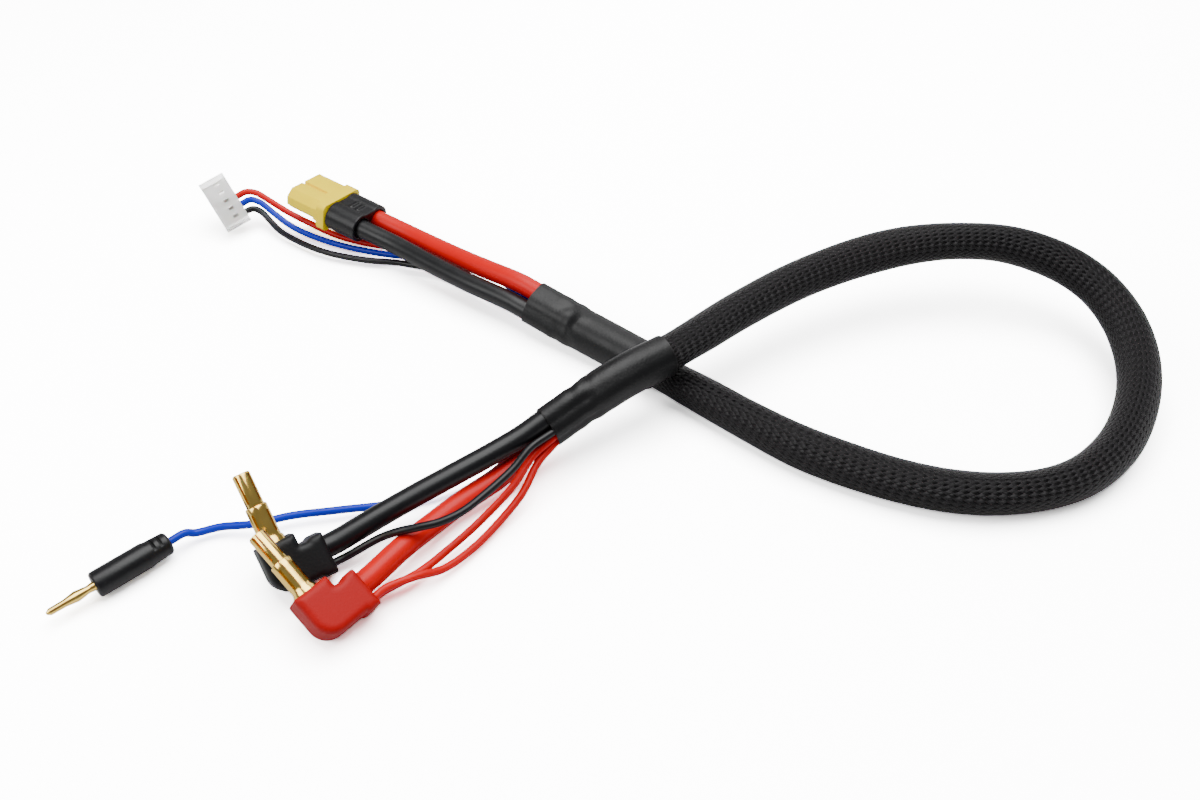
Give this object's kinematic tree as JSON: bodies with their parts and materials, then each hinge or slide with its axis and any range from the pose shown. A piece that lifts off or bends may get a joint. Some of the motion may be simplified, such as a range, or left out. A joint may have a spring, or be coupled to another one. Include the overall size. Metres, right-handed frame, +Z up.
{
  "type": "balance charge lead",
  "caption": "Balance charge lead: a flat power plug and a small balance plug at one end, a looped braided cable, angled stepped bullet plugs and a thin pin plug at the other.",
  "frame": {"origin": "on the surface the lead lies on, under the middle of the box round its plugs, housings and heat shrinks", "axes": "+Z up from the surface; +X from the plugs towards the braided loop; +Y from the battery end towards the charger end, along the longest side of the box round the plugs"},
  "size_m": [0.2541, 0.1562, 0.0257],
  "materials": {
    "yellow_plastic": "moulded nylon, light sheen",
    "black_plastic": "moulded nylon, light sheen",
    "gold_contact": "gold plated, bright",
    "tinned_copper": "tinned, dull",
    "white_plastic": "natural nylon, slightly see-through",
    "heat_shrink": "satin heat-shrink sleeve",
    "braid": "fine braided monofilament over the wires",
    "red_silicone": "silicone wire cover, satin",
    "black_silicone": "silicone wire cover, satin",
    "blue_silicone": "silicone wire cover, satin",
    "red_rubber": "soft moulded, matte",
    "black_rubber": "soft moulded, matte"
  },
  "bodies": {
    "lead": {"power_plug_housing": "yellow_plastic", "power_contact_red": "gold_contact", "power_contact_black": "gold_contact", "power_core_red": "tinned_copper", "power_core_black": "tinned_copper", "balance_plug_housing": "white_plastic", "balance_terminal_black": "tinned_copper", "balance_terminal_blue": "tinned_copper", "balance_terminal_red": "tinned_copper", "charger_heat_shrink": "heat_shrink", "battery_heat_shrink": "heat_shrink", "braided_sleeve": "braid", "power_wire_red": "red_silicone", "power_wire_black": "black_silicone", "charger_sense_red": "red_silicone", "charger_sense_blue": "blue_silicone", "charger_sense_black": "black_silicone", "pack_wire_black": "black_silicone", "pack_wire_red": "red_silicone", "pack_sense_red_first": "red_silicone", "pack_sense_red_second": "red_silicone", "pack_sense_black": "black_silicone", "pack_sense_blue": "blue_silicone", "elbow_housing_red": "red_rubber", "elbow_housing_black": "black_rubber", "bullet_red": "gold_contact", "bullet_black": "gold_contact", "bullet_core_red": "tinned_copper", "bullet_core_black": "tinned_copper", "pin_plug_body": "black_plastic", "pin_plug_contact": "gold_contact"},
    "cover": {"power_plug_cover": "black_plastic"}
  },
  "joints": [
    {"name": "cover_slide", "type": "slide", "parent": "lead", "child": "cover", "axis": [0.8525, -0.5122, -0.1045], "range_m": [0, 0.007]}
  ]
}
